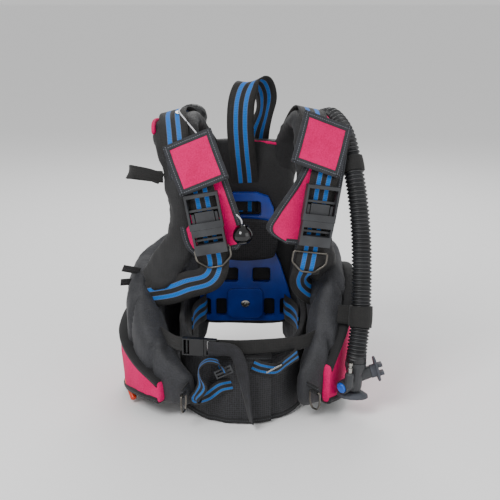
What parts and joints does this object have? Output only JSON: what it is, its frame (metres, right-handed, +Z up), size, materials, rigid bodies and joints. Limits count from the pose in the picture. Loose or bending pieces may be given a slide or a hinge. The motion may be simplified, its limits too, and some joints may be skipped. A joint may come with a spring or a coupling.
{
  "type": "buoyancy compensator vest",
  "caption": "Jacket-style scuba buoyancy compensator with padded air cells, moulded backplate, buckled shoulder straps, mesh cummerbund, corrugated inflator hose and tank band.",
  "frame": {"origin": "Middle of the base of the bounding box of every piece but the inflator hose; the base is the floor that the empty vest stands on.", "axes": "+Z is up. The wearer faces -Y, so the front with the buckles is -Y and the tank side is +Y. +X is the wearer's left, the side of the inflator."},
  "size_m": [0.483, 0.5126, 0.5882],
  "materials": {
    "shell": "coated nylon, matt",
    "pink": "coated nylon, satin",
    "mesh": "open spacer mesh",
    "webbing": "ribbed woven webbing with two blue stripes",
    "binding": "plain woven tape",
    "plate": "moulded, satin gloss",
    "black_plastic": "moulded, fine texture",
    "grey_plastic": "moulded, fine texture",
    "grey_rubber": "moulded, matt",
    "hose_rubber": "corrugated, matt",
    "blue_button": "moulded, gloss",
    "steel": "stainless",
    "orange": "moulded, gloss",
    "cord": "braided cord"
  },
  "bodies": {
    "vest": {"backpack_plate": "plate", "plate_screw": "steel", "back_pad": "mesh", "tank_band": "webbing", "cam_buckle_frame": "black_plastic", "cam_buckle_pin": "steel", "tank_loop": "webbing", "back_cell": "shell", "right_buckle_socket": "grey_plastic", "left_buckle_socket": "grey_plastic", "inflator_hose": "hose_rubber", "hose_elbow": "black_plastic", "dump_valve_body": "black_plastic", "dump_valve_cap": "black_plastic", "dump_cord": "cord", "dump_grommet": "steel", "right_wing": "shell", "left_wing": "shell", "right_shoulder": "shell", "right_lower_webbing": "webbing", "right_lapel": "pink", "right_lapel_flap": "pink", "right_shoulder_webbing": "webbing", "left_shoulder": "shell", "left_lower_webbing": "webbing", "left_lapel": "pink", "left_lapel_flap": "pink", "left_shoulder_webbing": "webbing", "right_pocket": "pink", "left_pocket": "pink", "right_cummerbund": "mesh", "left_cummerbund": "mesh", "belt_socket": "black_plastic", "right_waist_belt": "webbing", "left_waist_belt": "webbing", "right_adjuster": "webbing", "tri_glide": "steel", "left_adjuster": "webbing", "inflator_body": "grey_plastic", "inflate_spring": "steel", "hose_nipple": "steel", "mouthpiece": "grey_rubber", "hose_keeper": "binding", "hose_band": "binding", "whistle": "orange", "ladder_lock": "grey_plastic"},
    "right_plug": {"right_buckle_plug": "grey_plastic"},
    "left_plug": {"left_buckle_plug": "grey_plastic"},
    "right_ring": {"right_shoulder_ring": "steel"},
    "left_ring": {"left_shoulder_ring": "steel"},
    "right_low_ring": {"right_lower_ring": "steel"},
    "left_low_ring": {"left_lower_ring": "steel"},
    "belt_clasp": {"belt_plug": "black_plastic", "belt_tail": "binding"},
    "cam_lever": {"cam_buckle_lever": "black_plastic"},
    "inflate": {"inflate_button": "blue_button"},
    "deflate": {"deflate_button": "grey_rubber"},
    "knob": {"dump_knob": "black_plastic"},
    "poppet": {"dump_poppet": "grey_rubber"}
  },
  "joints": [
    {"name": "right_buckle_release", "type": "slide", "parent": "vest", "child": "right_plug", "axis": [0.1818, -0.0127, -0.9833], "range_m": [0, 0.034], "deforming": ["right_lower_webbing"]},
    {"name": "right_shoulder_ring_swing", "type": "hinge", "parent": "right_plug", "child": "right_ring", "pos_m": [-0.0658, -0.14806, 0.30339], "axis": [0.9809, -0.0686, 0.1822], "range_deg": [-50, 0]},
    {"name": "right_lower_ring_swing", "type": "hinge", "parent": "vest", "child": "right_low_ring", "pos_m": [-0.11369, -0.24196, 0.06562], "axis": [0.2588, 0.9659, 0], "range_deg": [-10, 45]},
    {"name": "left_buckle_release", "type": "slide", "parent": "vest", "child": "left_plug", "axis": [-0.153, -0.0325, -0.9877], "range_m": [0, 0.034], "deforming": ["left_lower_webbing"]},
    {"name": "left_shoulder_ring_swing", "type": "hinge", "parent": "left_plug", "child": "left_ring", "pos_m": [0.10835, -0.14783, 0.29446], "axis": [0.9661, 0.2054, -0.1564], "range_deg": [-50, 0]},
    {"name": "left_lower_ring_swing", "type": "hinge", "parent": "vest", "child": "left_low_ring", "pos_m": [0.11431, -0.23096, 0.06562], "axis": [-0.6157, 0.788, 0], "range_deg": [-45, 10]},
    {"name": "belt_buckle_release", "type": "slide", "parent": "vest", "child": "belt_clasp", "axis": [0.9848, -0.1736, 0], "range_m": [0, 0.022], "deforming": ["left_waist_belt"]},
    {"name": "cam_lever_hinge", "type": "hinge", "parent": "vest", "child": "cam_lever", "pos_m": [-0.03269, 0.25134, 0.21162], "axis": [0, 0, 1], "range_deg": [0, 110]},
    {"name": "inflate_press", "type": "slide", "parent": "vest", "child": "inflate", "axis": [0.7562, 0.6322, 0.1684], "range_m": [0, 0.003], "stiffness_N_per_m": 1200, "deforming": ["inflate_spring"]},
    {"name": "deflate_press", "type": "slide", "parent": "vest", "child": "deflate", "axis": [0.0698, 0, 0.9976], "range_m": [0, 0.003], "stiffness_N_per_m": 800},
    {"name": "knob_pull", "type": "slide", "parent": "vest", "child": "knob", "axis": [0.1001, -0.3505, -0.9312], "range_m": [0, 0.014], "stiffness_N_per_m": 900, "deforming": ["dump_cord"]},
    {"name": "poppet_lift", "type": "slide", "parent": "vest", "child": "poppet", "axis": [-0.0499, 0.799, 0.5993], "range_m": [0, 0.0049]}
  ],
  "couplings": [
    {"joint": "poppet_lift", "follows": "knob_pull", "ratio": 0.35}
  ]
}
